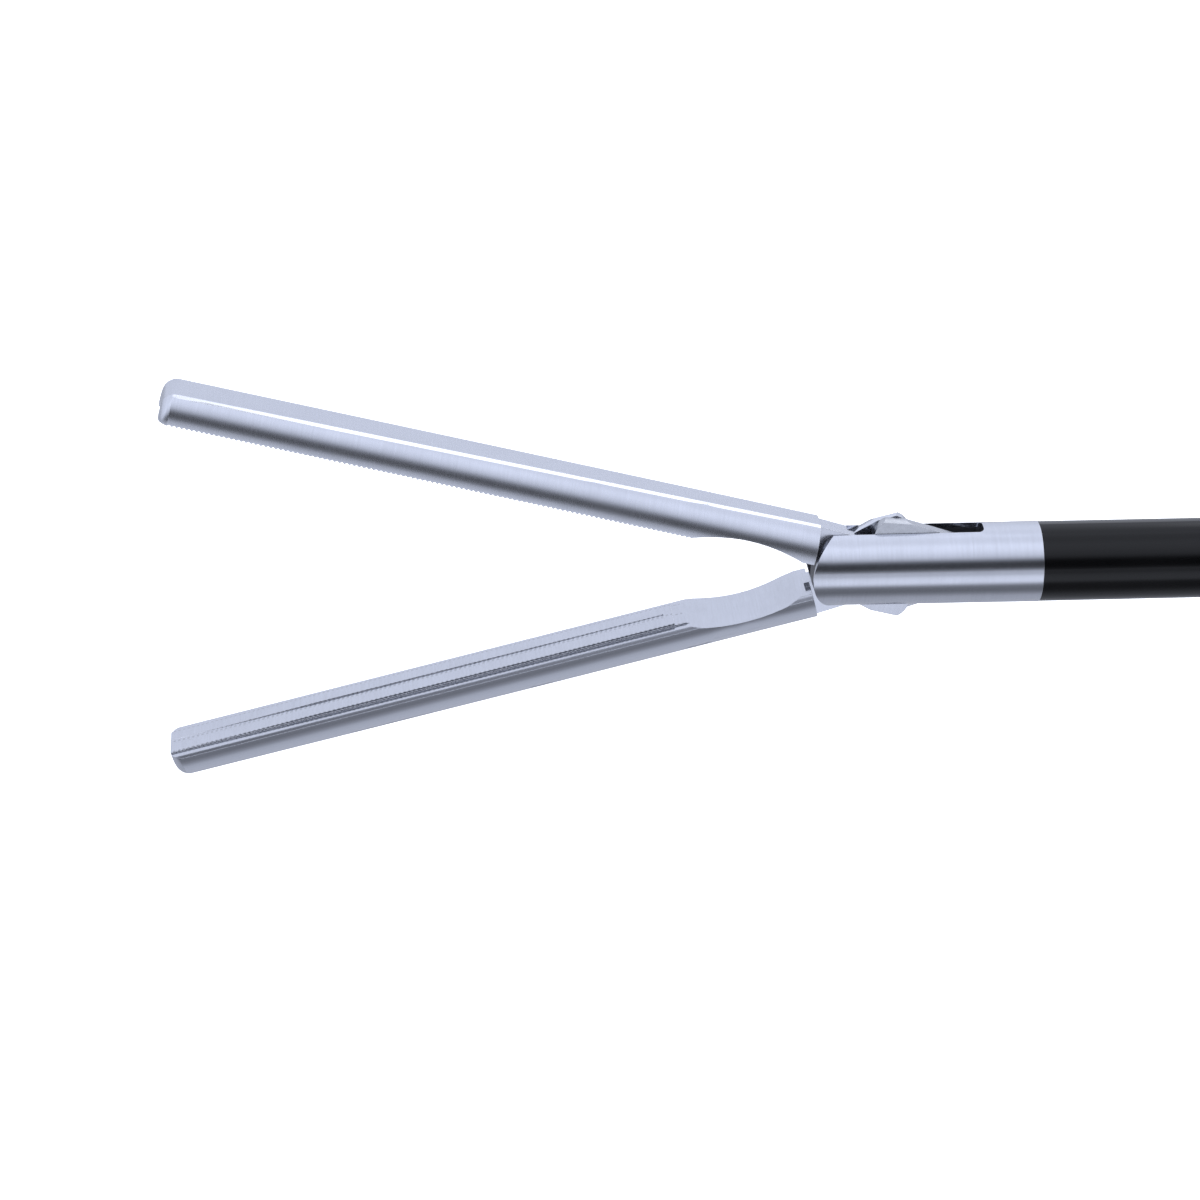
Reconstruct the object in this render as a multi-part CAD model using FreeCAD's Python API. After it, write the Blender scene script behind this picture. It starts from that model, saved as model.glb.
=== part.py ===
import FreeCAD, Part
import math
import os

# Laparoscopic grasper: a 5 mm insulated shaft with two long toothed jaws at its far end,
# opened and closed by a push rod, and a two-ring handle with a rotation knob.
# Frame: X runs along the shaft towards the handle, Z is up, Y is across. The origin is on
# the shaft's axis at the front face of the rotation knob, so the jaws lie at minus X.
# The jaws are drawn open, against their stop. All sizes are in mm and degrees.

V = FreeCAD.Vector
AXIS_X = V(1, 0, 0)
AXIS_Y = V(0, 1, 0)
AXIS_Z = V(0, 0, 1)
CENTRE = V(0, 0, 0)

# Overall
working_length = 330.0      # knob face to the tips of the closed jaws
open_angle = 14.3           # each jaw from the shaft's axis

# Jaws
jaw_reach = 43.6            # pivot to tip
jaw_root_radius = 2.24      # half-round back at the shoulder and at the tip
jaw_tip_radius = 2.20
jaw_root_height = 2.11      # gripping face to the flat along the back
jaw_tip_height = 1.76
side_flat = 0.03            # depth of the narrow flats along the sides
face_offset = 0.33          # gripping face to the pivot's centre, so the tips meet first
rim_chamfer = 0.25          # corner taken off the long edges of the lower jaw's face
tip_radius = 0.9            # rounding of the tip all round its end
relief_near = 3.6           # hollow of the face behind the teeth: its ends and its depth
relief_far = 10.8
relief_depth = 0.62
tooth_pitch = 0.30
tooth_depth = 0.11
teeth_margin = 0.55         # smooth ends of the toothed stretch
rail_inside = 1.45          # middle of a face to its outer rail
rail_drop = 0.08            # lower jaw's rails below its face
ridge_half_width = 0.60     # toothed ridge along the middle of the lower jaw
ridge_height = 0.47
ridge_groove_half_width = 0.24
ridge_groove_depth = 0.20
channel_clearance = 0.07    # upper jaw's channel round that ridge

# Half-lap joint of the jaws
slot_width = 1.50
layer_gap = 0.04            # between the two layers of plates in the slot
side_gap = 0.03             # plate to slot wall
hub_radius = 1.85
hub_clearance = 0.15
neck_height = 2.30
neck_step = 0.12            # fall of the neck's top towards its end
neck_root = 0.35            # neck let into the jaw's shoulder
lip_end_far = 0.95
lip_end_near = 0.55
neck_split = 0.04
elbow_distance = 3.15       # pivot to elbow
elbow_angle = 41.8          # elbow below or above the axis with the jaws open
elbow_end_radius = 1.17
rivet_radius = 0.50
rivet_play = 0.14           # the link's hole round the elbow rivet
rivet_skin = 0.20           # metal left over a rivet's blind end
elbow_clearance = 0.18      # scallop in a tail for the other jaw's link
pivot_pin_radius = 0.65
pivot_pin_skin = 0.35       # metal left over the pivot pin's blind end
pin_play = 0.04             # running clearance round a pin
press_gap = 0.01            # between pieces fixed to one another

# Clevis, the steel tip of the shaft
clevis_radius = 2.50         # at its rear; it tapers towards the nose
clevis_taper = 0.04
clevis_length_to_pivot = 11.5
nose_radius = 2.70
nose_clearance = 0.15
slot_back = 3.50            # steel end to the slot's end
slot_end_radius = 0.35
fork_bore_radius = 1.70
fork_bore_end = 4.3
socket_depth = 2.8

# Links and rod
link_reach = 9.5            # pivot to rod pin with the jaws open
link_end_radius = 0.92
rod_pin_radius = 0.45
fork_radius = 1.60
fork_slot_clearance = 0.02
fork_nose = 1.2
fork_slot_depth = 2.6
fork_length = 7.5
rod_radius = 0.90
rod_engagement = 2.6
spacer_count = 4
spacer_length = 8.0
spacer_gap = 0.05

# Tube and insulation
tube_radius = 2.20
tube_wall = 0.40
insulation_wall = 0.275

# Tube hub
hub_start = 4.0
hub_shank_radius = 4.0
hub_tube_depth = 16.0
hub_bore_radius = 1.30
hub_flange_radius = 5.6
hub_flange_length = 2.2
hub_end = 48.0
gland_depth = 6.0
gland_radius = 2.60

# Rotation knob
knob_length = 25.8
knob_skirt = 4.2             # rear edge to the hub's flange inside
knob_radius = 13.0
knob_nose_radius = 6.2
knob_flute_count = 8
knob_flute_radius = 3.4
knob_flute_offset = 14.9
knob_recess_radius = 9.6
grub_position = 13.5
grub_radius = 1.5
grub_length = 6.0

# Front bush, clip and rings on the hub
bush_gap = 0.25
bush_flange_radius = 9.0
bush_flange_length = 2.0
bush_radius = 6.5
bush_length = 14.0
hub_play = 0.04
clip_thickness = 0.7
clip_radius = 5.8
clip_groove_depth = 0.6
clip_gap = 0.15
clip_mouth_half_width = 2.6
friction_ring_section = 0.42
friction_ring_position = 32.0
seal_section = 0.80
gland_nut_head_radius = 3.6
gland_nut_head_length = 2.0

# Ball end and lever
ball_position = 60.0
ball_radius = 1.60
ball_neck_radius = 1.05
ball_shank_length = 4.8
ball_neck_length = 3.2      # ball's surface to the shank
lever_arm = 4.2             # ball to lever pivot
lever_pivot_radius = 1.25
lever_pivot_length = 14.0
lever_half_thickness = 3.0
lever_edge_radius = 0.8
saddle_half_length = 2.8
saddle_half_width = 2.1
saddle_top = 3.0
saddle_floor = 0.5
ball_play = 0.04

# Rings of the handle
ring_half_thickness = 5.0
ring_edge_radius = 2.2
ring_band = 5.0
thumb_ring_centre = (88.0, -57.0)
thumb_ring_half_width = 12.5
thumb_ring_half_height = 14.5
finger_ring_centre = (40.0, -61.0)
finger_ring_half_width = 12.5
finger_ring_half_height = 20.5

# Handle shells
housing_half_thickness = 9.5
housing_edge_radius = 3.0
housing_top = 13.2
housing_depth = 17.5
housing_rear_reach = 14.0   # ball to the back of the shells
housing_front_gap = 0.6
housing_brow = 16.6          # front to the top's highest corner
neck_half_thickness = 5.5
chamber_radius = 7.6
lever_chamber_gap = 0.4
screw_radius = 1.25
screw_head_radius = 2.4
screw_head_depth = 2.0
screw_recess = 0.6
screw_reach = 5.0
grip_half_width = 8.0

# Contact post
post_position = 46.0
post_radius = 2.0
post_length = 12.0
post_root_radius = 2.4
post_tip_radius = 0.8
post_collar_radius = 3.2
post_collar_length = 1.6
post_foot = 6.9             # height of its lower end above the axis
leaf_half_length = 3.4
leaf_half_width = 1.5
leaf_thickness = 0.3
leaf_gap = 0.05

# Places worked out from the sizes above
pivot_x = -(working_length - jaw_reach)
steel_end_x = pivot_x + clevis_length_to_pivot
rod_pin_x = pivot_x + link_reach
shoulder = nose_radius + nose_clearance
layer_low = layer_gap / 2
layer_high = slot_width / 2 - side_gap
rivet_hole_reach = layer_high - rivet_skin
relief_middle = (relief_near + relief_far) / 2
relief_half = (relief_far - relief_near) / 2
relief_radius = (relief_half ** 2 + relief_depth ** 2) / (2 * relief_depth)
housing_front = knob_length + housing_front_gap
hub_flange_start = knob_length - knob_skirt
bush_start = hub_flange_start + hub_flange_length + bush_gap
clip_start = bush_start + bush_length + clip_gap
lever_pivot = V(ball_position, 0, -lever_arm)
screw_places = (
    (housing_front + 8.6, -bush_radius - 4.5),
    (ball_position + 7.5, 3.0),
    (finger_ring_centre[0] - 1.0, -housing_depth - 12.5),
)


def bar(start, direction, length, radius):
    """Round bar from a point along a direction."""
    return Part.makeCylinder(radius, length, start, direction)


def bar_x(x0, x1, radius):
    """Round bar on the shaft's axis."""
    return bar(V(x0, 0, 0), AXIS_X, x1 - x0, radius)


def bar_y(x, z, y0, y1, radius):
    """Round bar across the object."""
    return bar(V(x, y0, z), AXIS_Y, y1 - y0, radius)


def block(x0, x1, y0, y1, z0, z1):
    """Block between two corners."""
    return Part.makeBox(x1 - x0, y1 - y0, z1 - z0, V(x0, y0, z0))


def rounded_wire(corners, place):
    """Closed wire through (a, b, radius) corners; place turns (a, b) into a point in space."""
    joins = []
    for i, (a, b, radius) in enumerate(corners):
        here = V(a, b, 0)
        if radius == 0:
            joins.append((here, None, here))
            continue
        last = corners[i - 1]
        following = corners[(i + 1) % len(corners)]
        back = (V(last[0], last[1], 0) - here).normalize()
        ahead = (V(following[0], following[1], 0) - here).normalize()
        half_turn = back.getAngle(ahead) / 2
        run = radius / math.tan(half_turn)
        inward = (back + ahead).normalize()
        reach = radius / math.sin(half_turn) - radius
        joins.append((here + back * run, here + inward * reach, here + ahead * run))
    edges = []
    for i, (start, middle, end) in enumerate(joins):
        left = joins[i - 1][2]
        if (start - left).Length > 1e-6:
            edges.append(Part.makeLine(place(left.x, left.y), place(start.x, start.y)))
        if middle is not None:
            arc = Part.Arc(place(start.x, start.y), place(middle.x, middle.y), place(end.x, end.y))
            edges.append(arc.toShape())
    return Part.Wire(edges)


def plate(corners, y0, y1):
    """Flat plate across the object, from an outline of (x, z, radius) corners."""
    wire = rounded_wire(corners, lambda x, z: V(x, y0, z))
    return Part.Face(wire).extrude(V(0, y1 - y0, 0))


def turned(corners):
    """Body of revolution about the shaft's axis, from (x, r, radius) corners."""
    wire = rounded_wire(corners, lambda x, r: V(x, 0, r))
    return Part.Face(wire).revolve(CENTRE, AXIS_X, 360)


def link_plate(start, start_radius, end, end_radius, y0, y1):
    """Plate with two round ends joined by their tangents; start and end are (x, z)."""
    along = V(end[0] - start[0], 0, end[1] - start[1])
    length = along.Length
    along.normalize()
    across = V(-along.z, 0, along.x)
    lean = math.acos((start_radius - end_radius) / length)
    sides = []
    for sign in (1, -1):
        normal = along * math.cos(lean) + across * (sign * math.sin(lean))
        sides.append((V(start[0], y0, start[1]) + normal * start_radius,
                      V(end[0], y0, end[1]) + normal * end_radius))
    middle = Part.Face(Part.makePolygon([sides[0][0], sides[0][1], sides[1][1], sides[1][0], sides[0][0]]))
    web = middle.extrude(V(0, y1 - y0, 0))
    ends = [bar_y(start[0], start[1], y0, y1, start_radius), bar_y(end[0], end[1], y0, y1, end_radius)]
    return web.fuse(ends).removeSplitter()


def round_rims(solid, planes, radius):
    """Fillet on the edges that lie in the given planes across Y."""
    rims = []
    for edge in solid.Edges:
        box = edge.BoundBox
        for y in planes:
            if abs(box.YMin - y) < 1e-6 and abs(box.YMax - y) < 1e-6:
                rims.append(edge)
    return solid.makeFillet(radius, rims)


def pillow(corners, half_thickness, edge_radius):
    """Plate centred on Y = 0 with rounded rims on both sides."""
    return round_rims(plate(corners, -half_thickness, half_thickness),
                      (-half_thickness, half_thickness), edge_radius)


def oval_ring(centre, half_width, half_height):
    """Oval finger ring with rounded rims; the half sizes are those of its opening."""
    solids = []
    for grow in (ring_band, 0):
        wide = half_width + grow
        high = half_height + grow
        at = V(centre[0], -ring_half_thickness, centre[1])
        top = at + V(0, 0, high)
        side = at + V(wide, 0, 0)
        curve = Part.Ellipse(top, side, at) if high >= wide else Part.Ellipse(side, top, at)
        face = Part.Face(Part.Wire([curve.toShape()]))
        solids.append(face.extrude(V(0, 2 * ring_half_thickness, 0)))
    ring = solids[0].cut(solids[1])
    return round_rims(ring, (-ring_half_thickness, ring_half_thickness), ring_edge_radius)


def jaw_frame(shape, side):
    """Places a jaw piece drawn closed and upward at the pivot: side is 1 for upper, -1 for lower."""
    placed = shape.copy()
    if side < 0:
        placed.rotate(CENTRE, AXIS_X, 180)
    placed.rotate(CENTRE, AXIS_Y, side * open_angle)
    placed.translate(V(pivot_x, 0, 0))
    return placed


def elbow_point(side):
    """Centre (x, z) of an elbow with the jaws open: side 1 belongs to the upper jaw."""
    turn = math.radians(elbow_angle)
    return (pivot_x + elbow_distance * math.cos(turn), -side * elbow_distance * math.sin(turn))


def closed_elbow():
    """Elbow (x, z) in the frame of an upper jaw drawn along the axis, pivot at zero."""
    turn = math.radians(elbow_angle - open_angle)
    return (elbow_distance * math.cos(turn), -elbow_distance * math.sin(turn))


def jaw_bar(rim):
    """Tapered half-round bar of a jaw, with a flat along its back and a rounded tip.

    rim is the corner taken off the two long edges of the face.
    """
    low = face_offset
    round_bar = turned([(-jaw_reach, 0, 0), (-jaw_reach, jaw_tip_radius, tip_radius),
                        (-shoulder, jaw_root_radius, 0), (-shoulder, 0, 0)])
    round_bar.translate(V(0, 0, low))
    side_view = plate([(-jaw_reach, low, 0), (-shoulder, low, 0), (-shoulder, low + jaw_root_height, 0),
                       (-jaw_reach, low + jaw_tip_height, tip_radius)],
                      -jaw_root_radius, jaw_root_radius)
    root = jaw_root_radius - side_flat
    tip = jaw_tip_radius - side_flat
    plan = rounded_wire([(-jaw_reach, -tip, 0), (-shoulder, -root, 0),
                         (-shoulder, root, 0), (-jaw_reach, tip, 0)], lambda x, y: V(x, y, 0))
    body = round_bar.common(side_view)
    body = body.common(Part.Face(plan).extrude(V(0, 0, low + jaw_root_height)))
    return body.cut(rim_wedge(rim, 1)).cut(rim_wedge(rim, -1)) if rim > 0 else body


def rim_wedge(rim, side):
    """Prism along one long edge of the face, which takes its corner off."""
    edge = jaw_root_radius - side_flat
    corners = [(side * (edge - rim - 1), face_offset - 1, 0),
               (side * (edge + 1), face_offset + rim + 1, 0),
               (side * (edge + 1), face_offset - 1, 0)]
    section = rounded_wire(corners, lambda y, z: V(-jaw_reach - 1, y, z))
    return Part.Face(section).extrude(V(jaw_reach + 1, 0, 0))


def jaw_blank(rim):
    """Jaw without its teeth, drawn closed and upward, with its hub in the near layer."""
    body = jaw_bar(rim)
    hollow_z = face_offset + relief_depth - relief_radius
    reach = jaw_root_radius + 1
    body = body.cut(bar_y(-relief_middle, hollow_z, -reach, reach, relief_radius))
    root = -shoulder - neck_root
    for y0, y1, lip in ((-layer_high, -layer_low, lip_end_near), (-layer_low, layer_high, lip_end_far)):
        body = body.fuse(plate([(root, neck_split, 0), (-lip, neck_split, 0),
                                (-lip, neck_height - neck_step, 0), (root, neck_height, 0)], y0, y1))
    body = body.cut(bar_y(0, 0, -layer_low, layer_high + 1, hub_radius + hub_clearance))
    tail = link_plate((0, 0), hub_radius, closed_elbow(), elbow_end_radius, -layer_high, -layer_low)
    body = body.fuse(tail)
    elbow = closed_elbow()
    scallop = elbow_end_radius + elbow_clearance
    body = body.cut(bar_y(elbow[0], -elbow[1], -jaw_root_radius, jaw_root_radius, scallop))
    outside = block(-shoulder, jaw_reach, -jaw_root_radius, jaw_root_radius, -jaw_reach, jaw_reach)
    body = body.cut(outside.cut(bar_x(-shoulder - 1, jaw_reach + 1, clevis_radius)))
    body = body.cut(bar_y(0, 0, -jaw_root_radius, jaw_root_radius, pivot_pin_radius + pin_play))
    body = body.cut(bar_y(elbow[0], elbow[1], -rivet_hole_reach, slot_width, rivet_radius + press_gap))
    return body.removeSplitter()


def tooth_line(level, start, end):
    """Zigzag of (x, z, 0) points along the face, from start towards end."""
    count = int((end - start) / tooth_pitch)
    points = []
    for i in range(count):
        x = start + i * tooth_pitch
        points.append((x, level, 0))
        points.append((x + tooth_pitch / 2, level + tooth_depth, 0))
    points.append((start + count * tooth_pitch, level, 0))
    return points


def rails(shape):
    """The two outer strips of a shape, either side of the middle of a face."""
    middle = block(-jaw_reach - 1, 0, -rail_inside, rail_inside, -jaw_reach, jaw_reach)
    return shape.cut(middle)


def jaw_upper():
    """Upper jaw: serrated rails on either side of a smooth channel."""
    teeth = tooth_line(face_offset, teeth_margin - jaw_reach, teeth_margin - relief_far)
    cutter = plate(teeth, -jaw_root_radius - 1, jaw_root_radius + 1)
    channel_top = face_offset + ridge_height + channel_clearance
    half_width = ridge_half_width + channel_clearance
    channel = block(-jaw_reach - 1, -relief_middle, -half_width, half_width, 0, channel_top)
    return jaw_frame(jaw_blank(0).cut(rails(cutter)).cut(channel), 1)


def jaw_lower():
    """Lower jaw: toothed ridge along its middle, with a smooth groove between its two rows."""
    reach = jaw_root_radius + 1
    drop = rails(block(-jaw_reach - 1, -relief_middle, -reach, reach, 0, face_offset + rail_drop))
    ridge_top = face_offset - ridge_height
    teeth = tooth_line(ridge_top, -jaw_reach, -relief_far - teeth_margin)
    outline = [(teeth[0][0], face_offset + 0.1, 0)] + teeth + [(teeth[-1][0], face_offset + 0.1, 0)]
    ridge = plate(outline, -ridge_half_width, ridge_half_width)
    groove = block(-jaw_reach - 1, teeth[-1][0] - teeth_margin, -ridge_groove_half_width,
                   ridge_groove_half_width, -jaw_reach, ridge_top + ridge_groove_depth)
    return jaw_frame(jaw_blank(rim_chamfer).cut(drop).fuse(ridge.cut(groove)), -1)


def clevis_outside():
    """Turned outside of the steel tip, a little thinner at its nose."""
    front = pivot_x - nose_radius
    length = steel_end_x - front
    return Part.makeCone(clevis_radius - clevis_taper, clevis_radius, length, V(front, 0, 0), AXIS_X)


def jaw_pivot_pin():
    """Pin across the clevis: blind on the near side, finished to the round on the far side."""
    pin = bar_y(pivot_x, 0, pivot_pin_skin - clevis_radius, clevis_radius, pivot_pin_radius)
    return pin.common(clevis_outside())


def elbow_rivet(side):
    """Blind rivet between a jaw's tail and its link: side 1 belongs to the upper jaw."""
    x, z = elbow_point(side)
    return bar_y(x, z, press_gap - rivet_hole_reach, rivet_hole_reach - press_gap, rivet_radius)


def link(side):
    """Link from a jaw's elbow to the rod: side 1 belongs to the upper jaw, in the far layer.

    It is drawn with its elbow at zero and turned to its closed place, where its end is
    ground to the round of the steel tip, and then to its open place.
    """
    open_z = elbow_distance * math.sin(math.radians(elbow_angle))
    closed_z = -closed_elbow()[1]
    length = math.hypot(rod_pin_x - elbow_point(side)[0], open_z)
    lean_open = math.degrees(math.asin(open_z / length))
    lean_closed = math.degrees(math.asin(closed_z / length))
    body = link_plate((0, 0), elbow_end_radius, (length, 0), link_end_radius, -layer_high, -layer_low)
    body = body.cut(bar_y(0, 0, -rivet_hole_reach, slot_width, rivet_radius + rivet_play))
    body = body.cut(bar_y(length, 0, -slot_width, slot_width, rod_pin_radius + pin_play))
    body.rotate(CENTRE, AXIS_Y, lean_closed)
    body = body.common(bar(V(-jaw_reach, 0, -closed_z), AXIS_X, 2 * jaw_reach, clevis_radius))
    body.rotate(CENTRE, AXIS_Y, lean_open - lean_closed)
    body.translate(V(elbow_point(side)[0], 0, open_z))
    if side > 0:
        body.rotate(CENTRE, AXIS_X, 180)
    return body


def clevis():
    """Slotted steel tip that carries the jaws and is fixed on the end of the tube."""
    reach = clevis_radius + 1
    nose = bar_y(pivot_x, 0, -reach, reach, nose_radius)
    behind = block(pivot_x, steel_end_x, -reach, reach, -reach, reach)
    body = clevis_outside().common(nose.fuse(behind)).removeSplitter()
    slot = block(pivot_x - nose_radius - 1, steel_end_x - slot_back, -slot_width / 2, slot_width / 2,
                 -clevis_radius - 1, clevis_radius + 1)
    corners = [e for e in slot.Edges if abs(e.BoundBox.XMin - (steel_end_x - slot_back)) < 1e-6
               and e.BoundBox.ZLength > clevis_radius]
    body = body.cut(slot.makeFillet(slot_end_radius, corners))
    body = body.cut(bar_x(steel_end_x - fork_bore_end, steel_end_x, fork_bore_radius))
    body = body.cut(bar_x(steel_end_x - socket_depth, steel_end_x, tube_radius + press_gap))
    blind_end = pivot_pin_skin - clevis_radius - press_gap
    return body.cut(bar_y(pivot_x, 0, blind_end, clevis_radius + 1, pivot_pin_radius + press_gap))


def rod_fork():
    """Slotted end of the drive rod, its cheeks outside the two links."""
    front = rod_pin_x - fork_nose
    body = turned([(front, 0, 0), (front, fork_radius, 0.3), (front + fork_length, fork_radius, 0.5),
                   (front + fork_length, 0, 0)])
    slot = block(front - 1, rod_pin_x + fork_slot_depth, -slot_width / 2 - fork_slot_clearance,
                 slot_width / 2 + fork_slot_clearance, -fork_radius - 1, fork_radius + 1)
    body = body.cut(slot)
    end = front + fork_length
    body = body.cut(bar_x(end - rod_engagement, end + 1, rod_radius + press_gap))
    return body.cut(bar_y(rod_pin_x, 0, -fork_radius - 1, fork_radius + 1, rod_pin_radius + press_gap))


def rod_pin():
    """Pin that joins the two links to the fork."""
    pin = bar_y(rod_pin_x, 0, -fork_radius, fork_radius, rod_pin_radius)
    return pin.common(bar_x(rod_pin_x - 1, rod_pin_x + 1, fork_radius))


def rod_start():
    """Front end of the drive rod, inside the fork."""
    return rod_pin_x - fork_nose + fork_length - rod_engagement + press_gap


def drive_rod():
    """Steel rod from the fork to the ball end."""
    return bar_x(rod_start(), shank_start() + rod_engagement, rod_radius)


def rod_spacers():
    """Plastic sleeves on the rod that keep it central in the tube."""
    first = steel_end_x + fork_length + spacer_length
    pitch = (hub_start - spacer_length - first) / (spacer_count - 1)
    sleeves = []
    for i in range(spacer_count):
        x = first + i * pitch - spacer_length / 2
        sleeve = bar_x(x, x + spacer_length, tube_radius - tube_wall - spacer_gap)
        sleeves.append(sleeve.cut(bar_x(x, x + spacer_length, rod_radius + press_gap)))
    return Part.makeCompound(sleeves)


def shank_start():
    """Front end of the ball end's shank, where the rod goes in."""
    return ball_position - ball_radius - ball_neck_length - ball_shank_length


def rod_ball():
    """Ball end of the rod, held by the lever's saddle."""
    front = shank_start()
    shank = bar_x(front, front + ball_shank_length, ball_radius)
    neck = bar_x(front + ball_shank_length / 2, ball_position, ball_neck_radius)
    ball = Part.makeSphere(ball_radius, V(ball_position, 0, 0))
    hole = bar_x(front - 1, front + rod_engagement + press_gap, rod_radius + press_gap)
    return shank.fuse([neck, ball]).cut(hole).removeSplitter()


def outer_tube():
    """Steel tube of the shaft, from the clevis into the hub."""
    x0 = steel_end_x - socket_depth + press_gap
    x1 = hub_start + hub_tube_depth - press_gap
    return bar_x(x0, x1, tube_radius).cut(bar_x(x0, x1, tube_radius - tube_wall))


def insulation_sleeve():
    """Black insulation shrunk on the tube, flush with the steel tip."""
    x0 = steel_end_x + press_gap
    return bar_x(x0, 0, tube_radius + insulation_wall).cut(bar_x(x0, 0, tube_radius + press_gap))


def tube_hub():
    """Steel hub fixed on the tube: it carries the knob and turns in the front bush."""
    flange_end = hub_flange_start + hub_flange_length
    groove_floor = hub_shank_radius - clip_groove_depth
    ring_floor = hub_shank_radius - 2 * friction_ring_section
    ring_x = friction_ring_position
    clip_end = clip_start + clip_thickness
    outline = [
        (hub_start, 0, 0), (hub_start, hub_shank_radius, 0.4), (hub_flange_start, hub_shank_radius, 0),
        (hub_flange_start, hub_flange_radius, 0.3), (flange_end, hub_flange_radius, 0.3),
        (flange_end, hub_shank_radius, 0),
        (ring_x - 0.5, hub_shank_radius, 0), (ring_x - 0.5, ring_floor, 0),
        (ring_x + 0.5, ring_floor, 0), (ring_x + 0.5, hub_shank_radius, 0),
        (clip_start - press_gap, hub_shank_radius, 0), (clip_start - press_gap, groove_floor, 0),
        (clip_end + press_gap, groove_floor, 0), (clip_end + press_gap, hub_shank_radius, 0),
        (hub_end, hub_shank_radius, 0.4), (hub_end, 0, 0)]
    body = turned(outline)
    body = body.cut(bar_x(hub_start - 1, hub_start + hub_tube_depth, tube_radius + press_gap))
    body = body.cut(bar_x(hub_start, hub_end, hub_bore_radius))
    return body.cut(bar_x(hub_end - gland_depth, hub_end + 1, gland_radius))


def rotation_knob():
    """Fluted plastic knob that turns the shaft; its skirt covers the hub's flange."""
    outline = [(0, 0, 0), (0, knob_nose_radius, 1.2), (3.0, knob_nose_radius + 1.4, 2.0),
               (9.5, knob_radius, 3.0),
               (knob_length, knob_radius - 0.6, 1.5), (knob_length, 0, 0)]
    body = turned(outline)
    for i in range(knob_flute_count):
        turn = 2 * math.pi * i / knob_flute_count
        start = V(2.0, knob_flute_offset * math.sin(turn), knob_flute_offset * math.cos(turn))
        flute = bar(start, AXIS_X, knob_length - 5.5, knob_flute_radius)
        body = body.cut(flute.fuse(Part.makeSphere(knob_flute_radius, start + V(knob_length - 5.5, 0, 0))))
    body = body.cut(bar_x(-1, hub_start, tube_radius + press_gap))
    body = body.cut(bar_x(hub_start - press_gap, knob_length, hub_shank_radius + press_gap))
    body = body.cut(bar_x(hub_flange_start - 0.1, knob_length + 1, knob_recess_radius))
    return body.cut(bar(V(grub_position, 0, 0), AXIS_Z, knob_radius, grub_radius + press_gap))


def knob_grub_screw():
    """Socket screw that fixes the knob on the hub."""
    start = V(grub_position, 0, hub_shank_radius + press_gap)
    body = bar(start, AXIS_Z, grub_length, grub_radius)
    top = start + V(0, 0, grub_length - 1.5)
    angles = [i * math.pi / 3 for i in range(7)]
    key = Part.Face(Part.makePolygon([top + V(0.85 * math.cos(a), 0.85 * math.sin(a), 0) for a in angles]))
    return body.cut(key.extrude(V(0, 0, 2)))


def front_bush():
    """Plastic bush in the handle's front, in which the hub turns."""
    flange_end = bush_start + bush_flange_length
    end = bush_start + bush_length
    body = turned([(bush_start, 0, 0), (bush_start, bush_flange_radius, 0.5),
                   (flange_end, bush_flange_radius, 0), (flange_end, bush_radius, 0),
                   (end, bush_radius, 0.4), (end, 0, 0)])
    return body.cut(bar_x(bush_start - 1, end + 1, hub_shank_radius + hub_play))


def hub_clip():
    """Open spring clip in the hub's groove, behind the bush."""
    ring = bar_x(clip_start, clip_start + clip_thickness, clip_radius)
    ring = ring.cut(bar_x(clip_start - 1, clip_start + 1, hub_shank_radius - clip_groove_depth + press_gap))
    return ring.cut(block(clip_start - 1, clip_start + 2, -clip_mouth_half_width, clip_mouth_half_width,
                          -clip_radius - 1, 0))


def ring_on_axis(x, radius, section):
    """Round-section ring about the shaft's axis."""
    return Part.makeTorus(radius, section, V(x, 0, 0), AXIS_X)


def friction_ring():
    """Rubber ring in the hub that keeps the shaft where it is turned."""
    ring_radius = hub_shank_radius - friction_ring_section
    return ring_on_axis(friction_ring_position, ring_radius, friction_ring_section)


def rod_seal():
    """Rubber ring round the rod that holds the gas back."""
    x = hub_end - gland_depth + seal_section + press_gap
    return ring_on_axis(x, rod_radius + seal_section + press_gap, seal_section)


def gland_nut():
    """Screw-in sleeve that holds the rod seal."""
    x0 = hub_end - gland_depth + 2 * seal_section + 2 * press_gap
    head = hub_end + press_gap
    end = head + gland_nut_head_length
    body = turned([(x0, 0, 0), (x0, gland_radius - press_gap, 0.2), (head, gland_radius - press_gap, 0),
                   (head, gland_nut_head_radius, 0.3), (end, gland_nut_head_radius, 0.3), (end, 0, 0)])
    return body.cut(bar_x(x0 - 1, end + 1, rod_radius + pin_play))


def lever_arm_outline():
    """Corners of the lever from its head to the thumb ring."""
    head_half = saddle_half_length + 1.0
    top = saddle_top + 0.4
    x, z = thumb_ring_centre
    joint_x = x - thumb_ring_half_width - ring_band / 2
    return [(ball_position - head_half, top, 1.0), (ball_position + head_half, top, 1.4),
            (ball_position + head_half + 0.4, -lever_arm - 3, 7), (ball_position + 12, -26, 16),
            (x - 4, z + thumb_ring_half_height + 3.2, 3), (joint_x + 3.5, z + thumb_ring_half_height - 6, 3),
            (ball_position + 4, -28, 16), (ball_position - head_half - 0.2, -lever_arm - 4, 7)]


def saddle_pocket(grow):
    """Block that the saddle fills in the lever's head, larger by grow on its sides."""
    floor = -ball_radius - 0.1 - saddle_floor
    return block(ball_position - saddle_half_length - grow, ball_position + saddle_half_length + grow,
                 -saddle_half_width - grow, saddle_half_width + grow, floor - grow, saddle_top + 2 * grow)


def neck_slot(x0):
    """Upright slot that lets the rod's neck into the saddle from the front."""
    half = ball_neck_radius + 0.15
    return block(x0, ball_position, -half, half, -ball_radius - 0.1, saddle_top + 2)


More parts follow.
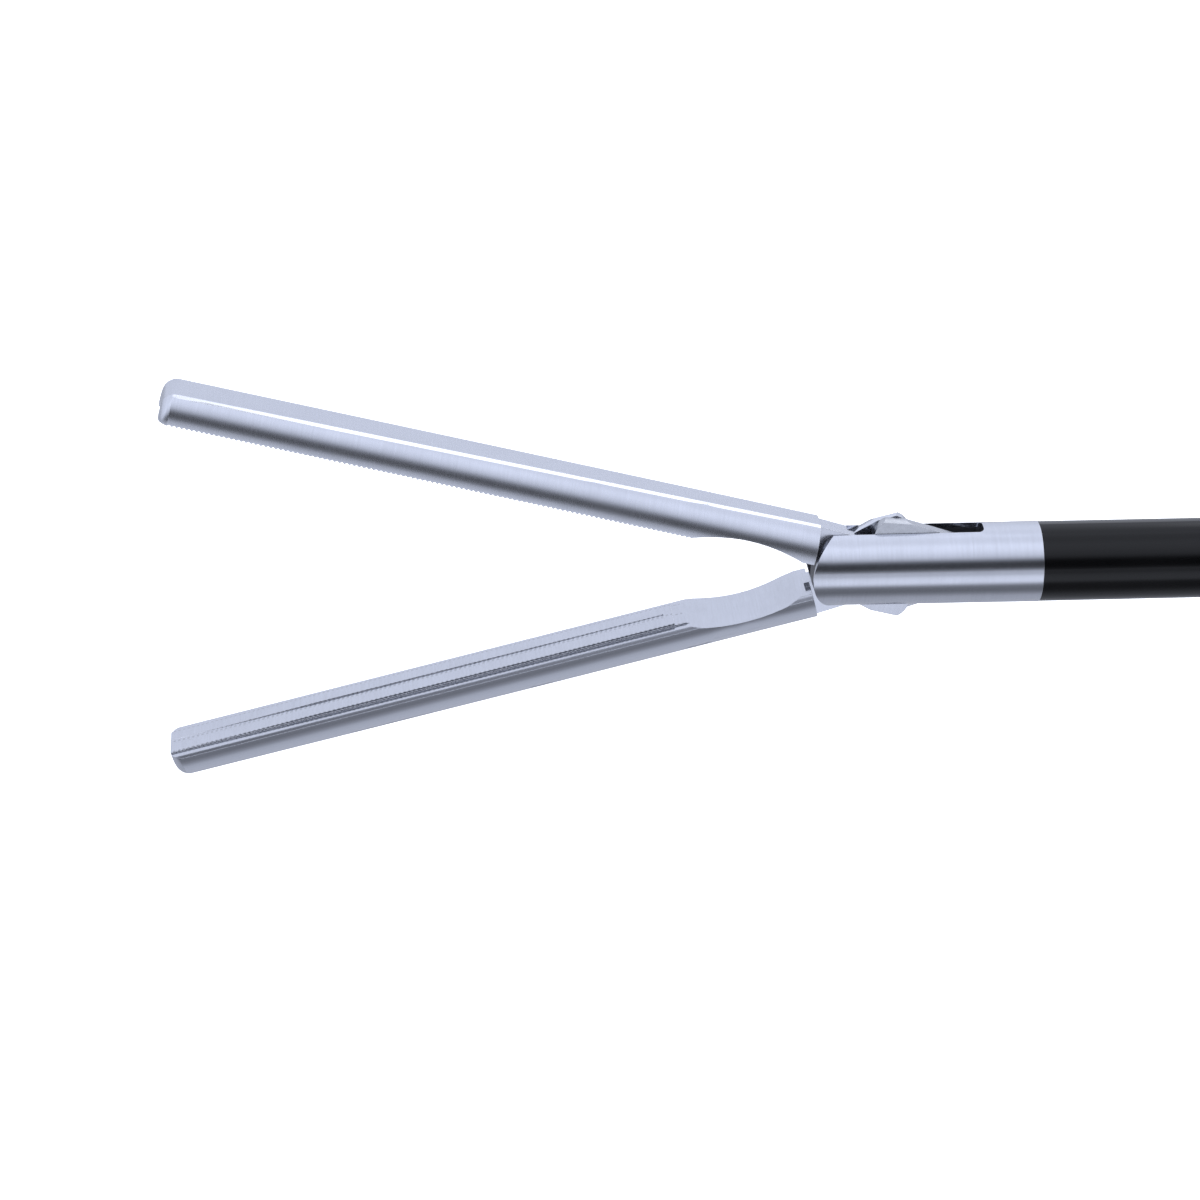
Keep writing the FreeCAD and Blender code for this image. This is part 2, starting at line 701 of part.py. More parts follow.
def thumb_lever():
    """Moving handle half with the thumb ring; its head pulls the rod."""
    arm = pillow(lever_arm_outline(), lever_half_thickness, lever_edge_radius)
    body = arm.fuse(oval_ring(thumb_ring_centre, thumb_ring_half_width, thumb_ring_half_height))
    body = body.cut(saddle_pocket(press_gap))
    body = body.cut(block(ball_position - saddle_half_length, ball_position + saddle_half_length,
                          -saddle_half_width, saddle_half_width, saddle_top, saddle_top + 2))
    body = body.cut(neck_slot(ball_position - saddle_half_length - 2))
    return body.cut(bar_y(lever_pivot.x, lever_pivot.z, -10, 10, lever_pivot_radius + pin_play))


def ball_saddle():
    """Steel insert in the lever's head that takes the ball."""
    body = saddle_pocket(0).common(block(0, 2 * ball_position, -9, 9, -9, saddle_top))
    pocket = bar(V(ball_position, 0, -ball_radius - 0.1), AXIS_Z, saddle_top + 4, ball_radius + ball_play)
    return body.cut(pocket).cut(neck_slot(ball_position - saddle_half_length - 2))


def lever_pivot_pin():
    """Pin on which the lever turns, held in both shells."""
    half = lever_pivot_length / 2
    return bar_y(lever_pivot.x, lever_pivot.z, -half, half, lever_pivot_radius)


def housing_outline():
    """Corners of the handle's body round the mechanism."""
    rear = ball_position + housing_rear_reach
    grip = finger_ring_centre[0]
    root = -housing_depth - 6.5
    return [(housing_front, housing_top - 2.0, 2.5), (housing_front + housing_brow, housing_top, 14),
            (rear - 11.0, housing_top - 1.0, 14), (rear - 1.5, 4.5, 9), (rear, -8.0, 5),
            (rear - 8.0, -housing_depth + 2.5, 4), (grip + 12.0, -housing_depth, 8),
            (grip + 6.0, root, 5), (grip - 6.5, root, 5), (housing_front, -12.5, 5)]


def grip_outline():
    """Corners of the neck between the body and the finger ring."""
    x, z = finger_ring_centre
    low = z + finger_ring_half_height + 1.0
    high = -housing_depth + 5.5
    waist = -housing_depth - 11.0
    half = grip_half_width
    return [(x - half - 2, high, 2), (x + half + 2, high, 2), (x + half - 1, waist, 14),
            (x + half + 1.5, low, 1.5), (x - half - 1.5, low, 1.5), (x - half + 1, waist, 14)]


def lever_chamber():
    """Space in the shells for the lever's head and arm over its whole travel."""
    left = ball_position - saddle_half_length - 3.6
    right = ball_position + saddle_half_length + 2.6
    foot = -housing_depth - 6.5
    outline = [(left, saddle_top + 3.5, 2), (right, saddle_top + 3.5, 2), (right + 0.4, -lever_arm - 3, 6),
               (right + 7.5, foot, 0), (left - 2.0, foot, 0), (left - 2.0, -lever_arm - 8, 3),
               (left, -lever_arm, 3)]
    half = lever_half_thickness + lever_chamber_gap
    return plate(outline, -half, half)


def post_root(grow):
    """Part of the contact post inside the shells, larger by grow: a root with a collar."""
    x = post_position
    height = housing_top - post_foot + 2 * grow
    root = bar(V(x, 0, post_foot - grow), AXIS_Z, height, post_root_radius + grow)
    collar = bar(V(x, 0, post_foot + post_collar_length - grow), AXIS_Z, post_collar_length + 2 * grow,
                 post_collar_radius + grow)
    return root.fuse(collar)


def handle_shells():
    """Both moulded shells of the fixed handle, split along the middle."""
    body = pillow(housing_outline(), housing_half_thickness, housing_edge_radius)
    body = body.fuse(pillow(grip_outline(), neck_half_thickness, ring_edge_radius))
    body = body.fuse(oval_ring(finger_ring_centre, finger_ring_half_width, finger_ring_half_height))
    body = body.cut(bar_x(housing_front - 1, bush_start + bush_length, bush_radius + press_gap))
    body = body.cut(bar_x(bush_start + bush_length, ball_position - saddle_half_length - 3, chamber_radius))
    body = body.cut(lever_chamber())
    half = lever_pivot_length / 2 + press_gap
    body = body.cut(bar_y(lever_pivot.x, lever_pivot.z, -half, half, lever_pivot_radius + press_gap))
    body = body.cut(post_root(press_gap))
    for x, z in screw_places:
        outside = housing_half_thickness if z > -20 else neck_half_thickness
        head = -outside + screw_recess + screw_head_depth
        body = body.cut(bar_y(x, z, -outside - 1, head, screw_head_radius + press_gap))
        body = body.cut(bar_y(x, z, head, screw_reach - 1.5 + press_gap, screw_radius + press_gap))
    far = block(0, 200, 0, 50, -200, 100)
    near = block(0, 200, -50, 0, -200, 100)
    return body.common(far), body.common(near)


def housing_screws():
    """Countersunk screws that hold the shells together."""
    screws = []
    for x, z in screw_places:
        outside = housing_half_thickness if z > -20 else neck_half_thickness
        top = -outside + screw_recess
        head = bar_y(x, z, top, top + screw_head_depth, screw_head_radius)
        shank = bar_y(x, z, top + screw_head_depth, screw_reach - 1.5, screw_radius)
        cross = block(x - 1.5, x + 1.5, top - 1, top + 0.9, z - 0.25, z + 0.25)
        cross = cross.fuse(block(x - 0.25, x + 0.25, top - 1, top + 0.9, z - 1.5, z + 1.5))
        screws.append(head.fuse(shank).removeSplitter().cut(cross))
    return Part.makeCompound(screws)


def contact_post():
    """Steel post for the current lead, caught between the shells."""
    body = post_root(0).fuse(bar(V(post_position, 0, housing_top - 1), AXIS_Z, post_length + 1, post_radius))
    top = housing_top + post_length
    rim = [e for e in body.Edges if abs(e.BoundBox.ZMin - top) < 1e-6 and abs(e.BoundBox.ZMax - top) < 1e-6]
    return body.makeFillet(post_tip_radius, rim)


def contact_leaf():
    """Spring strip that passes the current from the post to the turning hub."""
    low = hub_shank_radius + leaf_gap
    high = post_foot - press_gap
    x0 = post_position - leaf_half_length
    x1 = post_position + leaf_half_length
    outer = plate([(x0, low, 0.9), (x1, low, 0.9), (x1, high, 0.9), (x0, high, 0.9)],
                  -leaf_half_width, leaf_half_width)
    t = leaf_thickness
    inner = plate([(x0 + t, low + t, 0.6), (x1 - t, low + t, 0.6),
                   (x1 - t, high - t, 0.6), (x0 + t, high - t, 0.6)],
                  -leaf_half_width - 1, leaf_half_width + 1)
    mouth = block(x1 - 2.2, x1 + 1, -leaf_half_width - 1, leaf_half_width + 1, low + t + 0.2, high - t - 0.2)
    return outer.cut(inner).cut(mouth)


left_shell, right_shell = handle_shells()
pieces = {
    "jaw_upper": jaw_upper(),
    "jaw_lower": jaw_lower(),
    "jaw_pivot_pin": jaw_pivot_pin(),
    "clevis": clevis(),
    "link_upper": link(-1),
    "link_lower": link(1),
    "elbow_rivet_upper": elbow_rivet(-1),
    "elbow_rivet_lower": elbow_rivet(1),
    "rod_fork": rod_fork(),
    "rod_pin": rod_pin(),
    "drive_rod": drive_rod(),
    "rod_spacers": rod_spacers(),
    "rod_ball": rod_ball(),
    "outer_tube": outer_tube(),
    "insulation_sleeve": insulation_sleeve(),
    "tube_hub": tube_hub(),
    "rotation_knob": rotation_knob(),
    "knob_grub_screw": knob_grub_screw(),
    "front_bush": front_bush(),
    "hub_clip": hub_clip(),
    "friction_ring": friction_ring(),
    "rod_seal": rod_seal(),
    "gland_nut": gland_nut(),
    "thumb_lever": thumb_lever(),
    "ball_saddle": ball_saddle(),
    "lever_pivot_pin": lever_pivot_pin(),
    "handle_left": left_shell,
    "handle_right": right_shell,
    "housing_screws": housing_screws(),
    "contact_post": contact_post(),
    "contact_leaf": contact_leaf(),
}

os.makedirs("parts", exist_ok=True)
for node, shape in pieces.items():
    shape.exportStep("parts/" + node + ".step")
    state = "valid" if shape.isValid() else "INVALID"
    print(node, len(shape.Solids), "solid", round(shape.Volume, 3), "mm3", state)
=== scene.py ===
"""Looks of the laparoscopic grasper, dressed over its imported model."""

import math

import bmesh
import bpy
import numpy as np
from mathutils import Matrix, Vector


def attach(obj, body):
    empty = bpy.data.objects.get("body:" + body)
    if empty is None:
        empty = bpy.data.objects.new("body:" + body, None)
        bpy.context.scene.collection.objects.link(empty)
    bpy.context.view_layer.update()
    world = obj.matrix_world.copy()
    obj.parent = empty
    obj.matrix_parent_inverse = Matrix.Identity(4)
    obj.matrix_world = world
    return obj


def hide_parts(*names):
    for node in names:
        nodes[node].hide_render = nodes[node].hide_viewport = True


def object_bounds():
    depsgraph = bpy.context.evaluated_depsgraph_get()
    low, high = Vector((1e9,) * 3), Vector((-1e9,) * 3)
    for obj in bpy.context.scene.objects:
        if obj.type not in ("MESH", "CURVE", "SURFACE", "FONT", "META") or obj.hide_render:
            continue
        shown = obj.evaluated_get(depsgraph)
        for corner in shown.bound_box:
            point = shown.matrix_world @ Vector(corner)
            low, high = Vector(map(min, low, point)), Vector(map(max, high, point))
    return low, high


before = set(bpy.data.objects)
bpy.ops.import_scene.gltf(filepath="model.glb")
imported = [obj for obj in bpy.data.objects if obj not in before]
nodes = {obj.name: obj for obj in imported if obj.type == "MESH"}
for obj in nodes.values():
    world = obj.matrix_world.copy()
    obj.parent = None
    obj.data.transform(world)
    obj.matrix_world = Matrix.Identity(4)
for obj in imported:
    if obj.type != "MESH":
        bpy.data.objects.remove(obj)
packed_low, packed_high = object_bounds()


# Floor of the studio: a wide pale sheet under the instrument, which rests on its rings. What steel
# mirrors of it is a painted reflection: the floor glows for glossy rays, with painted shade in a darker
# strip below the shaft.
MM = 0.001
FLOOR_HALF_WIDTH = 4.0
FLOOR_DROP = 0.4 * MM
FLOOR_WHITE = (0.93, 0.93, 0.94, 1.0)
FLOOR_GLOW = 0.75
MIRRORED_REACH = 0.40
# Painted shade of the floor as steel mirrors it, across the shaft's line.
MIRRORED_FLOOR_PAINTED_SHADE = [(0.0, 0.56), (0.100, 0.70), (0.232, 0.86), (0.320, 0.90), (0.352, 0.80), (0.372, 0.50),
                  (0.388, 0.26), (0.410, 0.17), (0.445, 0.15), (0.468, 0.24), (0.490, 0.40), (0.52, 0.44),
                  (1.0, 0.48)]
STUDIO_TINT = (1.0, 1.055, 1.22)


def shader_tree(name):
    """New material with an empty node tree, and the tree."""
    material = bpy.data.materials.new(name)
    material.use_nodes = True
    material.node_tree.nodes.clear()
    return material, material.node_tree


def place(tree, kind, sockets=None, **settings):
    """Node of a kind, with its settings and the values or links of its input sockets."""
    node = tree.nodes.new(kind)
    for key, value in settings.items():
        setattr(node, key, value)
    for key, value in (sockets or {}).items():
        if isinstance(value, bpy.types.NodeSocket):
            tree.links.new(value, node.inputs[key])
        else:
            node.inputs[key].default_value = value
    return node


def ranged(tree, value, low, high, to_low=0.0, to_high=1.0):
    """Value carried from low and high to to_low and to_high, and held at both ends."""
    node = place(tree, "ShaderNodeMapRange", {"Value": value, "From Min": low, "From Max": high,
                                              "To Min": to_low, "To Max": to_high})
    return node.outputs["Result"]


def opaque(colour):
    """Colour with full alpha."""
    return tuple(colour) + (1.0,)


def ramp(tree, factor, stops):
    """Colour ramp over factor; stops are (position, grey or colour)."""
    node = place(tree, "ShaderNodeValToRGB", {"Fac": factor})
    while len(node.color_ramp.elements) < len(stops):
        node.color_ramp.elements.new(0.5)
    for element, (position, tone) in zip(node.color_ramp.elements, stops):
        element.position = position
        element.color = tone if isinstance(tone, tuple) else (tone, tone, tone, 1.0)
    return node.outputs["Color"]


def tinted(stops):
    """Ramp stops of grey light with the studio's cool tint."""
    return [(position, opaque(tone * part for part in STUDIO_TINT)) for position, tone in stops]


def surfaced(tree, shader):
    """Sends a shader to a new material output of its tree."""
    out = place(tree, "ShaderNodeOutputMaterial")
    tree.links.new(shader, out.inputs["Surface"])


def floor_material():
    """Pale floor; what is mirrored of it is a painted glow, with painted shade set by its distance in front
    of the shaft.
    """
    material, tree = shader_tree("studio_floor")
    where = place(tree, "ShaderNodeTexCoord").outputs["Object"]
    across = place(tree, "ShaderNodeSeparateXYZ", {0: where}).outputs["Y"]
    shade = ramp(tree, ranged(tree, across, -MIRRORED_REACH, MIRRORED_REACH), tinted(MIRRORED_FLOOR_PAINTED_SHADE))
    path = place(tree, "ShaderNodeLightPath")
    lit = place(tree, "ShaderNodeBsdfDiffuse", {"Color": FLOOR_WHITE})
    glow = place(tree, "ShaderNodeEmission", {"Color": FLOOR_WHITE, "Strength": FLOOR_GLOW})
    white = place(tree, "ShaderNodeAddShader", {0: lit.outputs[0], 1: glow.outputs[0]})
    # Glossy rays see a painted reflection: a glow whose ramp paints shade below the shaft.
    mirrored = place(tree, "ShaderNodeEmission", {"Color": shade, "Strength": 1.0})
    seen = place(tree, "ShaderNodeMixShader", {0: path.outputs["Is Glossy Ray"], 1: white.outputs[0],
                                               2: mirrored.outputs[0]})
    surfaced(tree, seen.outputs[0])
    return material


half = FLOOR_HALF_WIDTH
floor_mesh = bpy.data.meshes.new("floor")
corners = [(-half, -half, 0), (half, -half, 0), (half, half, 0), (-half, half, 0)]
floor_mesh.from_pydata(corners, [], [(0, 1, 2, 3)])
floor_mesh.materials.append(floor_material())
floor = bpy.data.objects.new("floor", floor_mesh)
floor.location.z = packed_low.z - FLOOR_DROP
bpy.context.scene.collection.objects.link(floor)


# Light tent round the instrument: long soft sheets along the shaft, open and dark at the height of
# the camera, which gives turned steel its bright and dark bands. The camera sees plain white. A strip
# of brighter light, above and behind, is mirrored only by what leans, such as the upper jaw.
TENT = [(0.0, 0.72), (0.49, 0.34), (0.502, 0.22), (0.513, 0.10), (0.524, 0.045), (0.550, 0.035),
        (0.566, 0.07), (0.580, 0.20), (0.594, 0.48), (0.612, 0.72), (0.635, 0.84), (0.660, 0.96),
        (0.695, 1.02), (0.715, 0.95), (0.735, 0.86), (0.764, 0.86), (0.789, 0.98), (0.811, 0.86),
        (0.900, 0.82), (0.944, 0.75), (1.0, 0.72)]
KEY_STRIP = [(0.0, 0.0), (0.850, 0.0), (0.859, 1.2), (0.893, 1.2), (0.902, 0.0)]
KEY_SIDE = (0.21, 0.27)
BACKGROUND_WHITE = (1.0, 1.0, 1.0, 1.0)
LIGHT_TARGET = (-0.20, 0.0, 0.0)
MIX_SOCKETS = {"FLOAT": (2, 3, 0), "VECTOR": (4, 5, 1), "RGBA": (6, 7, 2)}


def maths(tree, operation, *terms):
    """Result of a Math node."""
    return place(tree, "ShaderNodeMath", dict(enumerate(terms)), operation=operation).outputs[0]


def mixed(tree, kind, factor, first, second, **settings):
    """Result of a Mix node that goes from first to second as factor goes from 0 to 1. MIX_SOCKETS gives
    the numbers of the two inputs and the output that the node has for a kind of value."""
    one, other, result = MIX_SOCKETS[kind]
    sockets = {"Factor": factor, one: first, other: second}
    return place(tree, "ShaderNodeMix", sockets, data_type=kind, **settings).outputs[result]


def light_tent():
    """World whose light depends on the angle round the shaft's direction, from front to back; only the
    bright strip depends on the direction along the shaft too."""
    world = bpy.data.worlds.new("light_tent")
    world.use_nodes = True
    tree = world.node_tree
    tree.nodes.clear()
    way = place(tree, "ShaderNodeTexCoord").outputs["Generated"]
    parts = place(tree, "ShaderNodeSeparateXYZ", {0: way})
    front = maths(tree, "MULTIPLY", parts.outputs["Y"], -1.0)
    angle = maths(tree, "ARCTAN2", parts.outputs["Z"], front)
    share = ranged(tree, angle, -math.pi, math.pi)
    leaning = ranged(tree, parts.outputs["X"], *KEY_SIDE)
    lit = mixed(tree, "RGBA", leaning, ramp(tree, share, tinted(TENT)), ramp(tree, share, KEY_STRIP),
                blend_type="ADD")
    tent = place(tree, "ShaderNodeBackground", {"Color": lit, "Strength": 1.0})
    plain = place(tree, "ShaderNodeBackground", {"Color": BACKGROUND_WHITE, "Strength": 1.0})
    path = place(tree, "ShaderNodeLightPath")
    seen = place(tree, "ShaderNodeMixShader", {0: path.outputs["Is Camera Ray"], 1: tent.outputs[0],
                                               2: plain.outputs[0]})
    out = place(tree, "ShaderNodeOutputWorld")
    tree.links.new(seen.outputs[0], out.inputs["Surface"])
    return world


def softbox(name, position, size, watts):
    """Area light of size (width, height) that faces LIGHT_TARGET; polished metal mirrors only the tent."""
    light = bpy.data.lights.new(name, "AREA")
    light.shape = "RECTANGLE"
    light.size, light.size_y = size
    light.energy = watts
    lamp = bpy.data.objects.new(name, light)
    lamp.location = position
    lamp.rotation_mode = "QUATERNION"
    lamp.rotation_quaternion = (Vector(position) - Vector(LIGHT_TARGET)).to_track_quat("Z", "Y")
    lamp.visible_glossy = False
    bpy.context.scene.collection.objects.link(lamp)


bpy.context.scene.world = light_tent()
softbox("softbox_back", position=(-0.25, 0.62, 0.62), size=(1.5, 0.22), watts=3.0)
softbox("softbox_top", position=(-0.15, -0.25, 1.1), size=(1.4, 0.8), watts=3.0)


# Camera at the photograph's place: close in front of the jaws, some 25 degrees above them and a little
# towards their tips, with a long lens. Its distance is measured to a point just under the shaft's axis.
CAMERA_TARGET = (-301.975 * MM, 0.0, -2.002 * MM)
CAMERA_DISTANCE = 246.195 * MM
CAMERA_AZIMUTH = math.radians(-4.657)
CAMERA_ELEVATION = math.radians(24.644)
CAMERA_ROLL = math.radians(0.686)
CAMERA_LENS = 120.0
CAMERA_SENSOR = 36.0
CAMERA_CLIP = (0.005, 20.0)


def photograph_camera():
    """Camera at CAMERA_DISTANCE from the target, turned about its line of sight by the roll."""
    aside, ahead = math.sin(CAMERA_AZIMUTH), math.cos(CAMERA_AZIMUTH)
    flat = math.cos(CAMERA_ELEVATION)
    back = Vector((aside * flat, -ahead * flat, math.sin(CAMERA_ELEVATION)))
    level = Vector((ahead, aside, 0.0))
    above = back.cross(level)
    right = level * math.cos(CAMERA_ROLL) + above * math.sin(CAMERA_ROLL)
    up = above * math.cos(CAMERA_ROLL) - level * math.sin(CAMERA_ROLL)
    data = bpy.data.cameras.new("photograph_camera")
    data.lens = CAMERA_LENS
    data.sensor_width = CAMERA_SENSOR
    data.sensor_fit = "HORIZONTAL"
    data.clip_start, data.clip_end = CAMERA_CLIP
    camera = bpy.data.objects.new("photograph_camera", data)
    turn = Matrix((right, up, back)).transposed().to_4x4()
    camera.matrix_world = Matrix.Translation(Vector(CAMERA_TARGET) + back * CAMERA_DISTANCE) @ turn
    bpy.context.scene.collection.objects.link(camera)
    return camera


bpy.context.scene.camera = photograph_camera()
bpy.context.scene.view_settings.view_transform = "Standard"


# Upper jaw, jaw_upper, and the finish that it shares with the lower one: ground from a bar of stainless
# steel with a turned back, a flat along the back whose edge is polished, fine teeth on the gripping
# face and a hollow behind them, finished across its length on a fine belt. Lengths are millimetres.
JAW_OPEN = math.radians(14.3)
JAW_PIVOT = 286.4
JAW_FACE_OFFSET = 0.33
JAW_AXIS = JAW_PIVOT * math.sin(JAW_OPEN) - JAW_FACE_OFFSET
JAW_START = -JAW_PIVOT * math.cos(JAW_OPEN)
JAW_LENGTH = 43.6
JAW_SHOULDER = 2.85
BACK_RADIUS_LEAST = 2.10
BACK_FACET_MATCH = 0.93
BACK_FLAT_ROOT = 2.11
BACK_FLAT_TIP = 1.76
FLAT_SLACK = 0.012
CREST_ANGLE = 0.115
CREST_SLOPE = math.radians(78.0)
CREST_ROUGHNESS = 0.15
LOWER_BACK_DROP = 0.22
LOWER_RIM_PLANE = -1.96
LOWER_RIM_SLACK = 0.03
TOOTH_PITCH = 0.30
TOOTH_GAP = 0.075
TOOTH_LINES = [(0.0, 0.11), (1.35, 0.06)]
TOOTH_START = 10.9
# Painted shade for the valleys between the lower jaw's teeth.
TOOTH_SHADE = (0.54, 0.555, 0.60)
STEEL = (0.66, 0.68, 0.74)
# Colour that steel edges take: a painted highlight, lighter than the steel.
EDGE_PAINTED_HIGHLIGHT = (0.95, 0.96, 0.99)
EDGE_SAMPLES = 6
EDGE_TURN = 0.86
FINE_SHARE = 0.5
PATCH_SHARE = 0.45
TONE_RANGE = (0.30, 0.70)


def effect(name, inputs, outputs):
    """Empty shader node group with its input and output sockets, given as {name: kind}."""
    tree = bpy.data.node_groups.new(name, "ShaderNodeTree")
    for title, kind in inputs.items():
        tree.interface.new_socket(name=title, in_out="INPUT", socket_type="NodeSocket" + kind)
    for title, kind in outputs.items():
        tree.interface.new_socket(name=title, in_out="OUTPUT", socket_type="NodeSocket" + kind)
    return tree, tree.nodes.new("NodeGroupInput").outputs, tree.nodes.new("NodeGroupOutput").inputs


def use(tree, group, sockets=None):
    """Outputs of a node that places a group in a material."""
    return place(tree, "ShaderNodeGroup", sockets, node_tree=group).outputs


def vector_maths(tree, operation, *terms):
    """Result of a Vector Math node, a number for a dot product or a length."""
    node = place(tree, "ShaderNodeVectorMath", dict(enumerate(terms)), operation=operation)
    return node.outputs["Value" if operation in ("DOT_PRODUCT", "LENGTH") else "Vector"]


def product(tree, *masks):
    """Product of masks: 1 where all of them are 1."""
    result = masks[0]
    for mask in masks[1:]:
        result = maths(tree, "MULTIPLY", result, mask)
    return result


def noise(tree, where, scale, detail, roughness):
    """Noise from 0 to 1 over a place."""
    node = place(tree, "ShaderNodeTexNoise", {"Vector": where, "Scale": scale, "Detail": detail,
                                              "Roughness": roughness})
    return node.outputs["Fac"]


def millimetre_effect():
    """Object coordinates turned about Y by Lean, in millimetres."""
    tree, given, made = effect("millimetres", {"Lean": "Vector"}, {"Vector": "Vector"})
    where = place(tree, "ShaderNodeTexCoord").outputs["Object"]
    turned = place(tree, "ShaderNodeMapping", {"Vector": where, "Rotation": given["Lean"],
                                               "Scale": (1 / MM,) * 3})
    tree.links.new(turned.outputs[0], made["Vector"])
    return tree


def grinding_effect():
    """Fine parallel scratches: noise drawn out along two directions, from 0 to 1, in two sizes."""
    tree, given, made = effect("grinding_marks", {"Vector": "Vector", "Stretch": "Vector", "Fine": "Float"},
                               {"Height": "Float", "Tone": "Float"})
    drawn = vector_maths(tree, "MULTIPLY", given["Vector"], given["Stretch"])
    coarse = noise(tree, drawn, scale=1.0, detail=3.0, roughness=0.65)
    fine = noise(tree, drawn, scale=given["Fine"], detail=2.0, roughness=0.7)
    patches = noise(tree, given["Vector"], scale=0.35, detail=4.0, roughness=0.6)
    tree.links.new(mixed(tree, "FLOAT", FINE_SHARE, coarse, fine), made["Height"])
    tree.links.new(mixed(tree, "FLOAT", PATCH_SHARE, coarse, patches), made["Tone"])
    return tree


def edge_effect():
    """Soft edges: the normal rounded by Radius, and a mask of how far it turns from the flat surface."""
    tree, given, made = effect("soft_edges", {"Radius": "Float"}, {"Normal": "Vector", "Edge": "Float"})
    rounded = place(tree, "ShaderNodeBevel", {"Radius": given["Radius"]}, samples=EDGE_SAMPLES).outputs[0]
    flat = place(tree, "ShaderNodeNewGeometry").outputs["Normal"]
    same = vector_maths(tree, "DOT_PRODUCT", rounded, flat)
    tree.links.new(rounded, made["Normal"])
    tree.links.new(ranged(tree, same, 1.0, EDGE_TURN), made["Edge"])
    return tree


def world_direction(tree, direction, lean):
    """Unit direction in the world of a direction in a leaning object's own frame."""
    back = vector_maths(tree, "MULTIPLY", lean, (-1, -1, -1))
    turned = place(tree, "ShaderNodeMapping", {"Vector": direction, "Rotation": back}, vector_type="VECTOR")
    world = place(tree, "ShaderNodeVectorTransform", {0: turned.outputs[0]}, vector_type="NORMAL",
                  convert_from="OBJECT", convert_to="WORLD")
    return vector_maths(tree, "NORMALIZE", world.outputs[0])


def jaw_effect():
    """A jaw's own places, in millimetres, from Lean and Up (1 upper, -1 lower).

    Height is measured from the bar's axis towards the back, along from the pivot towards the tip.
    Round is the normal of the turned back: it points away from the axis, (0, across, height). The lower
    jaw's back is ground flatter, so its normals lean LOWER_BACK_DROP further down. Turned marks that
    back, by its radius, its place below the flat and its facets' directions, and the lower jaw's rims.
    Crest marks a strip of the upper jaw's back beside its flat, as wide as CREST_ANGLE round the axis,
    which is polished to the steady slope Polished. Gaps marks the valleys between the lower jaw's
    teeth, in lines along its face.
    """
    tree, given, made = effect("jaw_places", {"Lean": "Vector", "Up": "Float"},
                               {"Round": "Vector", "Polished": "Vector", "Turned": "Float",
                                "Crest": "Float", "Gaps": "Float"})
    where = use(tree, millimetres, {"Lean": given["Lean"]})["Vector"]
    x, y, z = place(tree, "ShaderNodeSeparateXYZ", {0: where}).outputs
    height = maths(tree, "MULTIPLY_ADD", z, given["Up"], JAW_AXIS)
    along = maths(tree, "SUBTRACT", JAW_START, x)
    side = maths(tree, "ABSOLUTE", y)
    lower = maths(tree, "LESS_THAN", given["Up"], 0.0)
    upper = maths(tree, "GREATER_THAN", given["Up"], 0.0)

    upright = maths(tree, "MULTIPLY", height, given["Up"])
    dropped = maths(tree, "MULTIPLY_ADD", lower, -LOWER_BACK_DROP, upright)
    outward = place(tree, "ShaderNodeCombineXYZ", {"Y": y, "Z": upright}).outputs[0]
    leaned = place(tree, "ShaderNodeCombineXYZ", {"Y": y, "Z": dropped}).outputs[0]
    sideways = maths(tree, "MULTIPLY", maths(tree, "SIGN", y), math.cos(CREST_SLOPE))
    slope = place(tree, "ShaderNodeCombineXYZ", {"Y": sideways, "Z": math.sin(CREST_SLOPE)}).outputs[0]
    normal = world_direction(tree, leaned, given["Lean"])
    polished = world_direction(tree, slope, given["Lean"])

    facet = place(tree, "ShaderNodeNewGeometry").outputs["True Normal"]
    same = vector_maths(tree, "DOT_PRODUCT", normal, facet)
    reach = vector_maths(tree, "LENGTH", outward)
    flat = ranged(tree, along, JAW_SHOULDER, JAW_LENGTH, BACK_FLAT_ROOT, BACK_FLAT_TIP)
    below = maths(tree, "SUBTRACT", flat, height)
    back = product(tree, maths(tree, "GREATER_THAN", same, BACK_FACET_MATCH),
                   maths(tree, "GREATER_THAN", reach, BACK_RADIUS_LEAST),
                   maths(tree, "GREATER_THAN", below, FLAT_SLACK))
    plane = maths(tree, "SUBTRACT", height, side)
    rim = product(tree, lower, maths(tree, "COMPARE", plane, LOWER_RIM_PLANE, LOWER_RIM_SLACK))

    flat_ends = maths(tree, "ARCSINE", maths(tree, "DIVIDE", flat, reach))
    here = maths(tree, "ARCSINE", maths(tree, "DIVIDE", height, reach))
    from_flat = maths(tree, "SUBTRACT", flat_ends, here)
    crest = product(tree, upper, back, maths(tree, "LESS_THAN", from_flat, CREST_ANGLE))

    beats = maths(tree, "PINGPONG", along, TOOTH_PITCH / 2)
    middle, outer = [maths(tree, "COMPARE", side, centre, half_width) for centre, half_width in TOOTH_LINES]
    gaps = product(tree, lower, maths(tree, "GREATER_THAN", beats, TOOTH_GAP),
                   maths(tree, "LESS_THAN", height, FLAT_SLACK),
                   maths(tree, "GREATER_THAN", along, TOOTH_START), maths(tree, "MAXIMUM", middle, outer))

    turned = maths(tree, "MAXIMUM", back, rim)
    for name, socket in zip(("Round", "Polished", "Turned", "Crest", "Gaps"),
                            (normal, polished, turned, crest, gaps)):
        tree.links.new(socket, made[name])
    return tree


millimetres = millimetre_effect()
jaw_places = jaw_effect()
grinding_marks = grinding_effect()
soft_edges = edge_effect()


